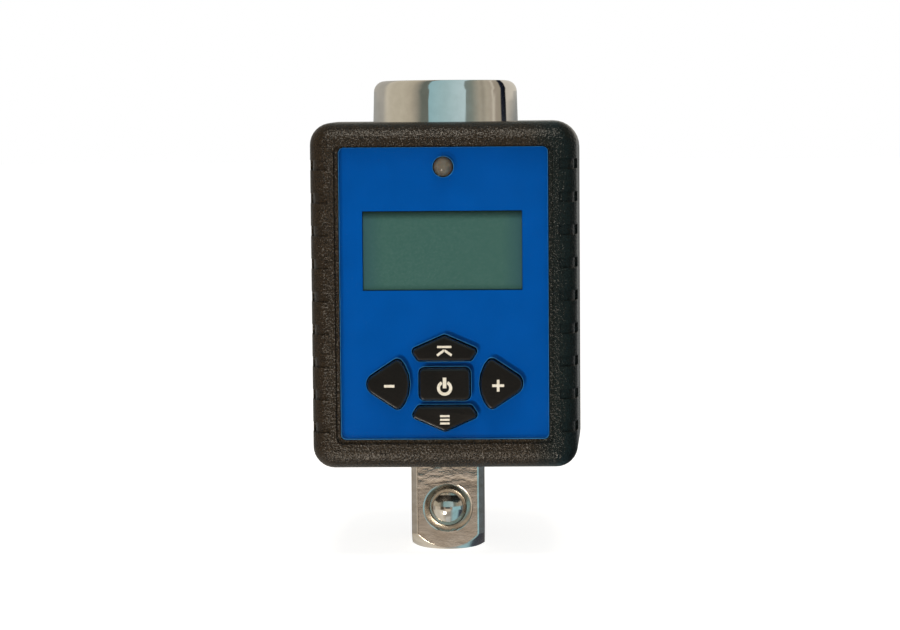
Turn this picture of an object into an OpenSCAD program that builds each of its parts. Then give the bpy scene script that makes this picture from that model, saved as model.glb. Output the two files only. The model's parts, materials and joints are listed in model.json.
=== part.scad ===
// Digital torque adapter for a 1/2 inch square drive, in millimetres.
// A steel torsion shaft, square at the bottom and with a square socket at the top, carries a
// two-part plastic housing with a display, five keys, a warning lamp and two battery cells.
// +Z runs up the shaft from the tip of the square drive, and the display faces -Y.

/* [Housing] */
// Distance from the battery bay's side to the housing's side
side_room = 9.7; // [9.4:0.05:14]
// Distance from the battery bay's ends to the housing's ends
end_room = 5.35; // [5.2:0.05:10]
// Distance from the shaft's inner collar to the floor of the battery bay
shaft_room = 1.7; // [1.4:0.1:5]
// Corner radius of the housing seen from the front
corner_r = 4.6; // [4.4:0.1:6]
// Rounding of the front edge
front_edge_r = 3.1; // [1.5:0.1:3.2]
// Rounding of the back edge
rear_edge_r = 2.6; // [1.5:0.1:3]
// Draft of the front half's side walls, in degrees
front_draft = 3; // [1:0.5:3]
// Draft of the rear half's side walls, in degrees
rear_draft = 2; // [1:0.5:2.5]
// Draft of both halves' top and bottom walls, in degrees
end_draft = 0.5; // [0:0.5:1]
// Wall thickness of the housing
wall = 1.8; // [1.6:0.1:2.2]
// Bevel of each half at the parting line
parting_bevel = 0.2; // [0:0.05:0.4]
// Distance from the outline in to the locating lip between the halves
lip_inset = 1.4; // [1.2:0.1:1.6]
// Height of the locating lip
lip_h = 1.2; // [0.8:0.1:1.6]

/* [Grips] */
// Number of grip grooves on each side
grip_count = 9; // [3:1:9]
// Distance between grip grooves
grip_pitch = 5.53; // [5:0.01:5.6]
// Height of one grip groove
grip_h = 1.7; // [1:0.1:3]
// Depth of the grip grooves
grip_depth = 0.5; // [0.2:0.05:0.7]
// Distance from the shaft axis to where a groove starts on the front shoulder
grip_front_x = 19.4; // [19.3:0.1:21]
// Plain strip between the front grooves and the parting line
grip_front_gap = 14.8; // [8:0.2:16]
// Plain strip between the rear grooves and the parting line
grip_rear_gap = 6; // [4:0.5:12]
// Plain strip between the rear grooves and the back face
grip_back_gap = 4; // [3.5:0.5:8]

/* [Face panel] */
// Distance from the housing's side to the clear face plate
panel_inset_x = 5.8; // [5.4:0.05:6.2]
// Distance from the housing's ends to the clear face plate
panel_inset_z = 4.75; // [4.6:0.05:5]
// Corner radius of the face plate
panel_r = 0.9; // [0.4:0.1:3]
// Height of the plate's centre above the housing's centre
panel_rise = 0.45; // [0.3:0.05:0.6]
// Thickness of the face plate
lens_t = 1.5; // [1:0.1:1.6]
// Depth of the plate's face below the rim
lens_sink = 0.4; // [0.2:0.1:0.5]
// Thickness of the printed film behind the plate
film_t = 0.2; // [0.1:0.05:0.25]
// Width of the ledge at each side of the plate
panel_gap_side = 0.8; // [0.2:0.05:0.9]
// Width of the ledge above the plate
panel_gap_top = 0.35; // [0.15:0.05:0.4]
// Width of the ledge below the plate
panel_gap_bottom = 0.8; // [0.2:0.05:0.9]
// Depth of that ledge below the plate's face
ledge_drop = 0.3; // [0.1:0.05:0.6]
// Gap between the plate and the pocket that holds it
panel_fit = 0.1; // [0.05:0.05:0.15]
// Thickness of the housing wall behind the film
face_wall = 1.7; // [1.4:0.1:1.8]

/* [Display and lamp] */
// Distance from the face plate's sides to the display window
window_inset = 4.1; // [4:0.1:7]
// Distance from the face plate's top edge down to the display window
window_top = 10.7; // [10.5:0.1:13]
// Distance from the face plate's bottom edge up to the display window
window_bottom = 25.1; // [25:0.1:27]
// Distance of the window to the left of the plate's centre line
window_shift = 0.25; // [0:0.05:0.4]
// Margin of the display glass around the window
glass_margin = 1.6; // [1.2:0.1:1.7]
// Thickness of the display glass
glass_t = 2.1; // [1.6:0.1:2.2]
// Diameter of the warning lamp's lens
lamp_d = 3.3; // [2.9:0.1:3.4]
// Diameter of the hole for the lamp
lamp_hole_d = 3.5; // [3.4:0.1:4.2]
// Distance of the lamp's centre below the face plate's top edge
lamp_drop = 3.3; // [2.9:0.1:3.6]
// How far the lamp stands out of the face plate
lamp_proud = 0.7; // [0.2:0.1:1]

/* [Keys] */
// Height of the power key's centre above the face plate's bottom edge
keys_rise = 9.4; // [9.2:0.1:9.6]
// Width of the power key
power_w = 8.46; // [7:0.01:8.6]
// Height of the power key
power_h = 5.36; // [4.4:0.01:5.4]
// Corner radius of the power key
power_r = 0.9; // [0.4:0.05:1.2]
// Distance from the power key's centre up to the base of the peak key
peak_base = 4; // [4:0.02:4.3]
// Distance from the power key's centre down to the base of the mode key
mode_base = 3.72; // [3.7:0.02:4]
// Half width of the base of the peak and mode keys
wedge_base = 4.45; // [4:0.05:4.6]
// Half width of the peak and mode keys at their side corners
wedge_side = 5.6; // [5.2:0.05:5.8]
// Height of those side corners above the base
wedge_shoulder = 1.75; // [1.5:0.05:1.9]
// Height of the point of the peak and mode keys above their base
wedge_h = 4.2; // [3.6:0.05:4.3]
// Distance from the centre line to the sharp tip of the plus and minus keys
side_tip = 14.45; // [14:0.05:14.5]
// Rounding of that tip
side_tip_r = 1.75; // [1:0.05:1.9]
// Distance from the centre line to the upper corner of the plus and minus keys
side_corner = 7.8; // [7.6:0.05:8.1]
// Distance from the centre line to the inner arc of the plus and minus keys
side_inner = 6; // [6:0.05:6.4]
// Slope of the plus and minus keys' outer edges, in degrees
side_slope = 33.5; // [31:0.5:34]
// Gap around each key in the face
key_gap = 0.22; // [0.15:0.01:0.24]
// How far the keys stand out of the face plate
key_proud = 1; // [0.9:0.05:1.4]
// Rounding of the keys' front edges
key_edge_r = 0.45; // [0.2:0.05:0.5]
// Width of the flange that holds each key behind the face
key_flange_w = 0.42; // [0.4:0.01:0.43]
// Thickness of that flange
key_flange_t = 0.8; // [0.6:0.05:0.85]
// Travel of a key
key_travel = 0.8; // [0.4:0.05:0.8]
// Radius of the plunger behind each key
plunger_r = 1.6; // [1:0.1:1.7]

/* [Shaft] */
// Width across the flats of the square drive
drive_af = 12.7; // [12.5:0.05:12.9]
// Length of the square drive that shows below the housing
drive_l = 16; // [14:0.1:20]
// Leg of the bevel on the square drive's corners
drive_bevel = 1.05; // [0.6:0.05:1.5]
// Radius of the flat at the tip of the drive
tip_flat_r = 4.5; // [4:0.1:5]
// Height of the turned crown at the tip, up to the drive's corners
crown_h = 2.8; // [1.5:0.1:3.2]
// Step from the square drive's corners out to the journal held by the housing
journal_step = 1.23; // [0.8:0.01:1.6]
// Length of the journal above its neck
journal_l = 8.8; // [6:0.2:10]
// Depth of the neck that the housing grips
neck_depth = 1.3; // [1:0.05:1.8]
// Depth of the two flats of the neck
neck_flat_depth = 0.8; // [0.4:0.05:1.2]
// Length of the neck
neck_l = 2.2; // [1.6:0.1:2.4]
// Thickness of the housing's bearing below the neck
bearing_t = 3; // [2.9:0.1:3.2]
// Diameter of the torsion section
torsion_d = 15; // [14.6:0.1:15.6]
// Depth of the two flats that carry the strain gauges
gauge_flat_depth = 0.6; // [0.5:0.05:0.8]
// Diameter of the collar inside the housing
collar_in_d = 23; // [21:0.1:23.2]
// Step out to the collar where it leaves the housing
collar_step = 1.2; // [0.8:0.05:1.6]
// Height of the collar above the housing
collar_proud = 7; // [6:0.1:10]
// Taper of the collar towards its top, in degrees
collar_draft = 1.8; // [0:0.1:2.5]
// Rounding of the collar's top edge
collar_edge_r = 1.9; // [0.8:0.1:2]
// Clearance of the square socket over the width of the square drive
socket_gap = 0.2; // [0.1:0.05:0.4]
// Depth of the square socket
socket_depth = 16.5; // [15:0.1:17]
// Steel between the socket's floor and the underside of the collar
socket_web = 2.5; // [2:0.1:4]
// Depth of the ball groove below the socket's mouth
socket_groove_z = 7.5; // [7:0.1:9]

/* [Detent ball] */
// Diameter of the detent ball
ball_d = 7; // [6.6:0.1:7.2]
// Height of the ball's centre above the tip
ball_z = 7.5; // [7.2:0.1:8]
// Narrowing of the mouth that keeps the ball in
mouth_step = 0.4; // [0.4:0.1:1]
// Depth of the bevel around the ball
mouth_bevel = 0.9; // [0.6:0.05:1.1]
// Depth of the ball's bore behind the shaft axis
bore_back = 3.3; // [3:0.1:4]
// Wire diameter of the detent spring
detent_wire = 0.5; // [0.4:0.05:0.55]
// Mean diameter of the detent spring
detent_coil_d = 4.8; // [4.4:0.1:5]
// Number of turns of the detent spring
detent_turns = 3.5; // [2.5:0.5:3.5]

/* [Battery] */
// Diameter of a battery cell
cell_d = 10.5; // [10:0.1:10.5]
// Length of a battery cell with its contact pip
cell_l = 44.5; // [43:0.1:44.5]
// Distance of each cell from the middle
cell_gap = 2.95; // [2.9:0.05:3.4]
// Thickness of the battery cover
cover_t = 1.6; // [1.4:0.1:2]
// Ledge that the battery cover rests on, at its sides
cover_ledge = 1.95; // [1.6:0.05:2]
// Height of the battery bay's centre above the housing's centre
bay_rise = -1.15; // [-1.3:0.05:-0.9]
// Thickness of the battery bay's floor and walls
bay_wall = 1; // [0.8:0.1:1.2]
// Compressed length of a battery contact spring
contact_spring_l = 2.5; // [2.2:0.1:3]
// Wire diameter of a battery contact spring
contact_wire = 0.5; // [0.4:0.05:0.6]
// Thickness of the battery contact plates
contact_t = 0.3; // [0.2:0.05:0.4]

/* [Circuit board] */
// Thickness of the circuit board
board_t = 1; // [0.8:0.1:1]
// Height of the display's contact strips
strip_h = 1.4; // [1.2:0.1:1.5]
// Distance of the board screws from the sides of the cavity
board_screw_inset = 2.45; // [2.4:0.05:2.6]

/* [Hidden] */

$fn = 64;
HULL_FN = 32;
EDGE_STEPS = 6;
CROWN_STEPS = 10;
CROWN_POWER = 2.27;
OVER = 0.5;
THIN = 0.01;
AXIAL_GAP = 0.1;
SEAT_GAP = 0.15;

// Battery bay
cell_r = cell_d / 2;
cell_x = cell_r + cell_gap;
bay_half_w = cell_x + cell_r + 0.2;
contact_bump = 0.3;
contact_gap = 0.05;
bay_l = cell_l + contact_spring_l + contact_bump + 2 * contact_t + 2 * contact_gap;

// Overall size of the housing, from what it holds
cell_cover_gap = 0.35;
board_room = 0.4;
body_w = 2 * (bay_half_w + side_room);
body_h = bay_l + 2 * end_room;
bay_floor_y = collar_in_d / 2 + shaft_room;
rear_d = bay_floor_y + bay_wall + SEAT_GAP + cell_d + cell_cover_gap + cover_t;
board_back_y = -collar_in_d / 2 - board_room;
front_d = -board_back_y + board_t + strip_h + glass_t + face_wall + film_t + lens_t + lens_sink;

// Sections of the shaft
drive_corner_r = norm([drive_af / 2, drive_af / 2 - drive_bevel]);
journal_d = 2 * (drive_corner_r + journal_step);
neck_d = journal_d - 2 * neck_depth;
neck_flats = neck_d - 2 * neck_flat_depth;
gauge_flats = torsion_d - 2 * gauge_flat_depth;
collar_d = collar_in_d + 2 * collar_step;
socket_af = drive_af + socket_gap;

// Levels along the shaft
body_z0 = drive_l;
body_z1 = body_z0 + body_h;
body_zc = (body_z0 + body_z1) / 2;
top_z = body_z1 + collar_proud;
cavity_inset = wall + max(front_d * tan(front_draft), rear_d * tan(rear_draft));
cavity_w = body_w - 2 * cavity_inset;
cavity_h = body_h - 2 * cavity_inset;
cavity_r = 2;
neck_z0 = body_z0 + bearing_t;
neck_z1 = neck_z0 + neck_l;
journal_sink = 0.6;
journal_z0 = body_z0 + journal_sink;
journal_z1 = neck_z1 + journal_l;
shaft_blend = 2.5;
collar_z0 = top_z - socket_depth - socket_web;
collar_step_z = body_z1 - cavity_inset + 0.5;
bearing_half_w = journal_d / 2 + 3.5;

// Levels from the front rim to the circuit board
rim_y = -front_d;
lens_y = rim_y + lens_sink;
film_y = lens_y + lens_t;
floor_y = film_y + film_t;
inner_y = floor_y + face_wall;
glass_back_y = inner_y + glass_t;
board_y = glass_back_y + strip_h;

// Places on the face
panel_w = body_w - 2 * panel_inset_x;
panel_h = body_h - 2 * panel_inset_z;
panel_z = body_zc + panel_rise;
panel_z0 = panel_z - panel_h / 2;
panel_z1 = panel_z + panel_h / 2;
window_w = panel_w - 2 * window_inset;
window_h = panel_h - window_top - window_bottom;
window_x = -window_shift;
window_z = (panel_z0 + window_bottom + panel_z1 - window_top) / 2;
lamp_z = panel_z1 - lamp_drop;
keys_z = panel_z0 + keys_rise;
recess_w = panel_w + 2 * panel_gap_side;
recess_h = panel_h + panel_gap_top + panel_gap_bottom;
recess_z = panel_z + (panel_gap_top - panel_gap_bottom) / 2;
recess_r = panel_r + 0.4;
window_margin = 0.6;
glass_w = window_w + 2 * glass_margin;
glass_h = window_h + 2 * glass_margin;
frame_gap = 0.1;
frame_wall = 0.9;

// Screws that join the housing halves
screw_inset_x = 4.3;
screw_inset_z = 5.6;
screw_x = body_w / 2 - screw_inset_x;
screw_z0 = body_z0 + screw_inset_z;
screw_z1 = body_z1 - screw_inset_z + 0.1;
boss_r = 2.4;
boss_gap = 0.1;
well_r = 2.3;
well_y = 11;
tube_r = well_r + 0.9;
screw_r = 1.25;
screw_head_r = 2.1;
screw_head_h = 1.6;
screw_reach = 14.5;
pilot_gap = 0.05;
thread_gap = 0.1;
hole_gap = 0.2;

// Battery cover and what it closes
cover_y = rear_d - cover_t;
cover_gap = 0.15;
cell_y = cover_y - cell_cover_gap - cell_r;
bay_y = bay_floor_y + bay_wall;
bay_z = body_zc + bay_rise;
bay_z0 = bay_z - bay_l / 2;
bay_z1 = bay_z + bay_l / 2;
cover_w = 2 * (bay_half_w + cover_ledge);
cover_end = 0.4;
cover_h = bay_l + 2 * cover_end;
cover_r = 2;
ledge_t = 1.6;
ledge_rim = 1.2;
centre_rib_t = 2.4;
centre_boss_r = cell_gap - 0.25;
cover_boss_r = 3.4;
cover_boss_y = cover_y - ledge_t;
cover_lip_t = 0.8;
cover_lip_h = 1;
cover_screw_r = 1.15;
cover_head_r = 2.2;
cover_head_h = 1.4;
cover_screw_reach = 6.1;
cell_pip_r = 1.9;
cell_pip_h = 1;
cell_edge_r = 0.5;
contact_tab_x = cell_x + 2.9;
contact_tab_w = 1.4;
contact_tab_y = bay_floor_y - 1.2;

// Detent ball and its bore
ball_r = ball_d / 2;
mouth_r = ball_r - mouth_step / 2;
mouth_lip = 0.12;
ball_seat_gap = 0.03;
lip_y = -(drive_af / 2 - mouth_bevel - mouth_lip);
ball_y = lip_y + sqrt(ball_r * ball_r - mouth_r * mouth_r) + ball_seat_gap;
ball_bore_r = ball_r + 0.05;

// Board and what it carries
board_gap = 0.6;
board_w = cavity_w - 2 * board_gap;
board_z0 = neck_z1 + 0.4;
board_z1 = body_z1 - cavity_inset - 0.8;
board_notch_r = boss_r + board_gap;
board_screw_r = 0.9;
post_r = 1.8;
frame_h = glass_h + 2 * (frame_gap + frame_wall);
post_gap = 0.3;
board_screw_x = cavity_w / 2 - board_screw_inset;
board_screw_z = [
    window_z - frame_h / 2 - post_r - 2 * post_gap, window_z + frame_h / 2 + post_r + post_gap
];
mat_t = 1;
mat_w = 2 * (side_tip + 0.8);
mat_z0 = board_z0 + 0.4;
mat_z1 = keys_z + peak_base + wedge_h + 1.5;
dome_h = 0.4;
dome_r = 2.8;
plunger_gap = 0.6;
flange_y = inner_y + 0.25;
key_y = lens_y - key_proud;
plunger_y = board_y - key_travel - 0.1;
gauge_z = (journal_z1 + collar_z0) / 2;
gauge_l = 9;
gauge_w = 5.2;
gauge_t = 0.2;
gauge_pad = 1.2;
gauge_pad_t = 0.15;
gauge_pad_x = 1.3;
gauge_pad_z = gauge_z - gauge_l / 2 + 1;
gauge_lead_r = 0.35;
battery_lead_r = 0.5;
LEAD_SIDES = 8;
COIL_SIDES = 6;
COIL_RINGS = 8;

// Draws a front view outline as a slab from y_back forward to y_front
module slab(y_back, y_front)
    translate([0, y_back, 0])
        rotate([90, 0, 0])
            linear_extrude(y_back - y_front)
                children();

// Draws a cylinder along Y at a place on the face
module y_cylinder(x, z, r, y_back, y_front)
    translate([x, y_back, z])
        rotate([90, 0, 0])
            cylinder(h = y_back - y_front, r = r);

module round_rect(w, h, r) {
    square([w - 2 * r, h], center = true);
    square([w, h - 2 * r], center = true);
    for (x = [-1, 1], y = [-1, 1])
        translate([x * (w / 2 - r), y * (h / 2 - r)])
            circle(r);
}

module face_rect(w, h, r, z)
    translate([0, z])
        round_rect(w, h, r);

function unit(v) = v / norm(v);
function outward(a, b) = unit([b.y - a.y, a.x - b.x]);

// Rounds each corner of a convex outline, drawn anticlockwise, and grows it outward
function rounded(pts, radii, grow = 0) = [
    for (i = [0 : len(pts) - 1])
        let (
            n1 = outward(pts[(i + len(pts) - 1) % len(pts)], pts[i]),
            n2 = outward(pts[i], pts[(i + 1) % len(pts)]),
            centre = pts[i] - radii[i] * (n1 + n2) / (1 + n1 * n2),
            r = radii[i] + grow,
            a = atan2(n1.y, n1.x),
            turn = (atan2(n2.y, n2.x) - a + 720) % 360,
            steps = r > 0 ? max(1, ceil(turn / 15)) : 0
        )
        for (k = [0 : steps])
            centre + r * [cos(a + turn * k / max(1, steps)), sin(a + turn * k / max(1, steps))]
];

function rounded_power(grow) = rounded(
    [for (s = [[1, -1], [1, 1], [-1, 1], [-1, -1]]) [s.x * power_w / 2, s.y * power_h / 2]],
    [for (i = [0 : 3]) power_r],
    grow
);

function rounded_wedge(grow) = rounded(
    [
        [wedge_base, 0], [wedge_side, wedge_shoulder], [0, wedge_h],
        [-wedge_side, wedge_shoulder], [-wedge_base, 0]
    ],
    [0.6, 0.6, 0.7, 0.6, 0.6],
    grow
);

// The inner side of the plus key is an arc through both corners and side_inner
side_corner_z = (side_tip - side_corner) * tan(side_slope);
side_arc_sag = side_corner - side_inner;
side_arc_r = (side_corner_z * side_corner_z + side_arc_sag * side_arc_sag) / (2 * side_arc_sag);
side_arc_angle = asin(side_corner_z / side_arc_r);
SIDE_ARC_STEPS = 6;
side_points = concat(
    [[side_tip, 0]],
    [
        for (k = [0 : SIDE_ARC_STEPS])
            let (a = 180 - side_arc_angle + 2 * side_arc_angle * k / SIDE_ARC_STEPS)
            [side_inner + side_arc_r + side_arc_r * cos(a), side_arc_r * sin(a)]
    ]
);
side_radii = [
    for (i = [0 : len(side_points) - 1])
        i == 0 ? side_tip_r : (i == 1 || i == len(side_points) - 1) ? 0.8 : 0
];
function rounded_side(grow) = rounded(side_points, side_radii, grow);

module power_outline(grow = 0)
    translate([0, keys_z])
        polygon(rounded_power(grow));

module peak_outline(grow = 0)
    translate([0, keys_z + peak_base])
        polygon(rounded_wedge(grow));

module mode_outline(grow = 0)
    translate([0, keys_z - mode_base])
        mirror([0, 1])
            polygon(rounded_wedge(grow));

module plus_outline(grow = 0)
    translate([0, keys_z])
        polygon(rounded_side(grow));

module minus_outline(grow = 0)
    mirror([1, 0])
        plus_outline(grow);

module all_key_outlines(grow) {
    power_outline(grow);
    peak_outline(grow);
    mode_outline(grow);
    plus_outline(grow);
    minus_outline(grow);
}

// Places of the plungers behind the five keys
plunger_places = [
    [0, keys_z], [0, keys_z + peak_base + wedge_shoulder], [0, keys_z - mode_base - wedge_shoulder],
    [side_corner + 1.4, keys_z], [-side_corner - 1.4, keys_z]
];

// Radius and height along the rounded edge of one half of the housing, seen in section.
// The radius is measured from the axis of a corner and the height from the parting line.
function edge_arc(depth, edge, draft, inset = 0) =
    let (centre = corner_r - (depth - edge) * tan(draft) - edge / cos(draft))
    [
        for (k = [0 : EDGE_STEPS])
            let (a = draft + (90 - draft) * k / EDGE_STEPS)
            [centre + (edge - inset) * cos(a), depth - edge + (edge - inset) * sin(a)]
    ];

// One half of the housing as a solid block, from the parting line along local +Z. Each corner
// leans out at the ends, so that the top and bottom walls have a smaller draft than the sides.
module half_block(depth, edge, draft)
    hull()
        for (x = [-1, 1], y = [-1, 1])
            translate([x * (body_w / 2 - corner_r), y * (body_h / 2 - corner_r), 0])
                multmatrix([
                    [1, 0, 0, 0], [0, 1, y * (tan(draft) - tan(end_draft)), 0], [0, 0, 1, 0]
                ])
                    rotate_extrude($fn = HULL_FN)
                        polygon(concat(
                            [
                                [0, 0], [corner_r - parting_bevel, 0],
                                [corner_r - parting_bevel * tan(draft), parting_bevel]
                            ],
                            edge_arc(depth, edge, draft),
                            [[0, depth]]
                        ));

module front_block()
    translate([0, 0, body_zc])
        rotate([90, 0, 0])
            half_block(front_d, front_edge_r, front_draft);

module rear_block()
    translate([0, 0, body_zc])
        rotate([-90, 0, 0])
            half_block(rear_d, rear_edge_r, rear_draft);

// Section of a grip groove on the front half, which follows the surface round the shoulder
module front_grip_section()
    let (
        side = body_w / 2 - corner_r,
        out_x = body_w / 2 + OVER,
        out_y = rim_y - OVER,
        arc = edge_arc(front_d, front_edge_r, front_draft, grip_depth),
        end_x = side + corner_r - grip_front_gap * tan(front_draft) - grip_depth / cos(front_draft)
    )
    intersection() {
        translate([grip_front_x, out_y])
            square([out_x - grip_front_x, -out_y - grip_front_gap]);
        polygon(concat(
            [[end_x, -grip_front_gap]],
            [for (p = arc) [side + p.x, -p.y]],
            [[side, rim_y + grip_depth], [side, out_y], [out_x, out_y], [out_x, -grip_front_gap]]
        ));
    }

// Section of a grip groove on the rear half, on its side wall only
module rear_grip_section()
    let (
        out_x = body_w / 2 + OVER,
        y0 = grip_rear_gap,
        y1 = rear_d - grip_back_gap,
        inset = grip_depth / cos(rear_draft)
    )
    polygon([
        [body_w / 2 - y0 * tan(rear_draft) - inset, y0], [out_x, y0],
        [out_x, y1], [body_w / 2 - y1 * tan(rear_draft) - inset, y1]
    ]);

module grip_cuts()
    for (i = [0 : grip_count - 1], side = [0, 1])
        translate([0, 0, body_zc + (i - (grip_count - 1) / 2) * grip_pitch - grip_h / 2])
            mirror([side, 0, 0])
                linear_extrude(grip_h)
                    children();

module outline_ring(outer_inset, y_back, y_front)
    slab(y_back, y_front)
        difference() {
            face_rect(
                body_w - 2 * outer_inset, body_h - 2 * outer_inset, corner_r - outer_inset, body_zc
            );
            face_rect(cavity_w, cavity_h, cavity_r, body_zc);
        }

module housing_screw_places()
    for (x = [-1, 1], z = [screw_z0, screw_z1])
        translate([x * screw_x, 0, z])
            children();

// The hole that the shaft leaves in both halves
module shaft_hole() {
    translate([0, 0, body_z0 - OVER])
        cylinder(h = bearing_t + OVER, r = journal_d / 2 + hole_gap);
    translate([0, 0, neck_z0 - THIN])
        intersection() {
            cylinder(h = neck_l + 2 * THIN, r = neck_d / 2 + SEAT_GAP);
            translate([-neck_flats / 2 - SEAT_GAP, -neck_d, 0])
                cube([neck_flats + 2 * SEAT_GAP, 2 * neck_d, neck_l + 2 * THIN]);
        }
    translate([0, 0, body_z1 - cavity_inset - OVER])
        cylinder(h = cavity_inset + 2 * OVER, r = collar_d / 2 + SEAT_GAP);
}

module bearing_block(y_back, y_front)
    slab(y_back, y_front)
        translate([-bearing_half_w, body_z0 + cavity_inset - OVER])
            square([2 * bearing_half_w, neck_z1 - body_z0 - cavity_inset + OVER]);

module torque_shaft()
    color("#b8b3ab")
        difference() {
            union() {
                shaft_turning();
                square_drive();
            }
            neck_side_cuts();
            gauge_seat_cuts();
            square_socket();
            ball_bore();
        }

module shaft_turning()
    let (
        jr = journal_d / 2,
        nr = neck_d / 2,
        tr = torsion_d / 2,
        cr = collar_in_d / 2,
        base_r = collar_d / 2,
        edge_z = top_z - collar_edge_r,
        rim_r = base_r - (edge_z - collar_step_z) * tan(collar_draft),
        break_edge = 0.5
    )
    rotate_extrude()
        polygon(concat(
            [
                [0, journal_z0], [jr - break_edge, journal_z0], [jr, journal_z0 + break_edge],
                [jr, neck_z0 - AXIAL_GAP], [nr, neck_z0 - AXIAL_GAP],
                [nr, neck_z1 + AXIAL_GAP], [jr, neck_z1 + AXIAL_GAP],
                [jr, journal_z1], [tr, journal_z1 + shaft_blend],
                [tr, collar_z0 - shaft_blend], [cr - break_edge, collar_z0],
                [cr, collar_z0 + break_edge], [cr, collar_step_z], [base_r, collar_step_z]
            ],
            [
                for (k = [0 : EDGE_STEPS])
                    let (a = 90 * k / EDGE_STEPS)
                    [rim_r - collar_edge_r * (1 - cos(a)), edge_z + collar_edge_r * sin(a)]
            ],
            [[0, top_z]]
        ));

// Square bar with bevelled corners, turned to a crown at its tip
module square_drive()
    let (
        h = drive_af / 2,
        b = h - drive_bevel,
        top = journal_z0 + OVER
    )
    intersection() {
        linear_extrude(top)
            polygon([[h, -b], [h, b], [b, h], [-b, h], [-h, b], [-h, -b], [-b, -h], [b, -h]]);
        rotate_extrude()
            polygon(concat(
                [[0, 0]],
                [
                    for (k = [0 : CROWN_STEPS])
                        let (t = k / CROWN_STEPS)
                        [
                            tip_flat_r + t * (drive_corner_r - tip_flat_r),
                            crown_h * pow(t, CROWN_POWER)
                        ]
                ],
                [
                    [drive_corner_r + drive_bevel, crown_h + 2 * drive_bevel],
                    [drive_corner_r + drive_bevel, top + OVER], [0, top + OVER]
                ]
            ));
    }

module neck_side_cuts()
    for (x = [0, 1])
        mirror([x, 0, 0])
            translate([neck_flats / 2, -journal_d, neck_z0 - AXIAL_GAP])
                cube([journal_d, 2 * journal_d, neck_l + 2 * AXIAL_GAP]);

module gauge_seat_cuts()
    for (y = [0, 1])
        mirror([0, y, 0])
            translate([-torsion_d, gauge_flats / 2, gauge_z - gauge_l / 2 - 1])
                cube([2 * torsion_d, torsion_d, gauge_l + 2]);

module square_socket()
    let (
        lead_in = 0.8,
        groove_h = 3,
        groove_depth = 0.75
    ) {
        translate([0, 0, top_z - socket_depth])
            linear_extrude(socket_depth + OVER)
                square(socket_af, center = true);
        translate([0, 0, top_z - socket_groove_z - groove_h / 2])
            cylinder(h = groove_h, r = socket_af / 2 + groove_depth);
        translate([0, 0, top_z - lead_in])
            cylinder(h = lead_in + OVER, r1 = socket_af / 2, r2 = socket_af / 2 + lead_in + OVER);
    }

module ball_bore() {
    y_cylinder(0, ball_z, ball_bore_r, bore_back, lip_y);
    y_cylinder(0, ball_z, mouth_r, 0, -drive_af / 2 - OVER);
    translate([0, -drive_af / 2 + mouth_bevel, ball_z])
        rotate([90, 0, 0])
            cylinder(h = mouth_bevel + OVER, r1 = mouth_r, r2 = mouth_r + mouth_bevel + OVER);
}

module detent_ball()
    color("#c9c4bb")
        translate([0, ball_y, ball_z])
            sphere(r = ball_r);

// Points of a coil's wire about local +Z, from radius r0 at the bottom to r1 at the top
function coil_points(r0, r1, length, turns) = [
    for (i = [0 : ceil(turns * COIL_RINGS)])
        let (
            t = i / ceil(turns * COIL_RINGS),
            a = 360 * turns * t,
            r = r0 + (r1 - r0) * t
        )
        [r * cos(a), r * sin(a), length * t]
];

// Least gap between the wires of neighbouring turns
function least_gap(pts, wire) = min([
    for (i = [0 : len(pts) - 1])
        for (j = [i + round(COIL_RINGS * 0.6) : 1 : len(pts) - 1])
            norm(pts[i] - pts[j])
]) - wire;

function tangent(pts, i) = unit(pts[min(i + 1, len(pts) - 1)] - pts[max(i - 1, 0)]);
function square_to(v, t) = unit(v - (v * t) * t);
function side_vectors(pts, i = 0, last = [0.31, 0.59, 0.74]) =
    i == len(pts) ? [] :
    let (n = square_to(last, tangent(pts, i)))
    concat([n], side_vectors(pts, i + 1, n));

// One closed tube along a list of points
module tube(pts, r, sides)
    let (
        n = len(pts),
        normals = side_vectors(pts),
        rings = [
            for (i = [0 : n - 1])
                let (b = cross(tangent(pts, i), normals[i]))
                for (k = [0 : sides - 1])
                    pts[i] + r * (cos(360 * k / sides) * normals[i] + sin(360 * k / sides) * b)
        ],
        walls = [
            for (i = [0 : n - 2])
                for (k = [0 : sides - 1])
                    let (
                        a = i * sides + k,
                        b = i * sides + (k + 1) % sides
                    )
                    each [[a, a + sides, b + sides], [a, b + sides, b]]
        ],
        caps = [
            for (k = [1 : sides - 2])
                each [
                    [0, k, k + 1],
                    [(n - 1) * sides, (n - 1) * sides + k + 1, (n - 1) * sides + k]
                ]
        ]
    )
    polyhedron(rings, concat(walls, caps));

// A smooth curve through chosen points, with straight ends
function curve(pts, steps) = concat(
    [pts[0]],
    [
        for (i = [1 : len(pts) - 3])
            for (k = [0 : steps - 1])
                let (
                    t = k / steps,
                    a = pts[i - 1],
                    b = pts[i],
                    c = pts[i + 1],
                    d = pts[i + 2]
                )
                0.5 * (
                    2 * b + (c - a) * t + (2 * a - 5 * b + 4 * c - d) * t * t
                    + (3 * b - a - 3 * c + d) * t * t * t
                )
    ],
    [pts[len(pts) - 2], pts[len(pts) - 1]]
);

// Where the first turn of the detent spring touches the ball
detent_touch = sqrt(pow(ball_r + detent_wire / 2, 2) - pow(detent_coil_d / 2, 2));
detent_y0 = ball_y + detent_touch + contact_gap;
detent_l = bore_back - detent_wire / 2 - contact_gap - detent_y0;
detent_points = coil_points(detent_coil_d / 2, detent_coil_d / 2, detent_l, detent_turns);

module detent_spring()
    color("#8f8f8c")
        translate([0, detent_y0, ball_z])
            rotate([-90, 0, 0])
                tube(detent_points, detent_wire / 2, COIL_SIDES);

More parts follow.
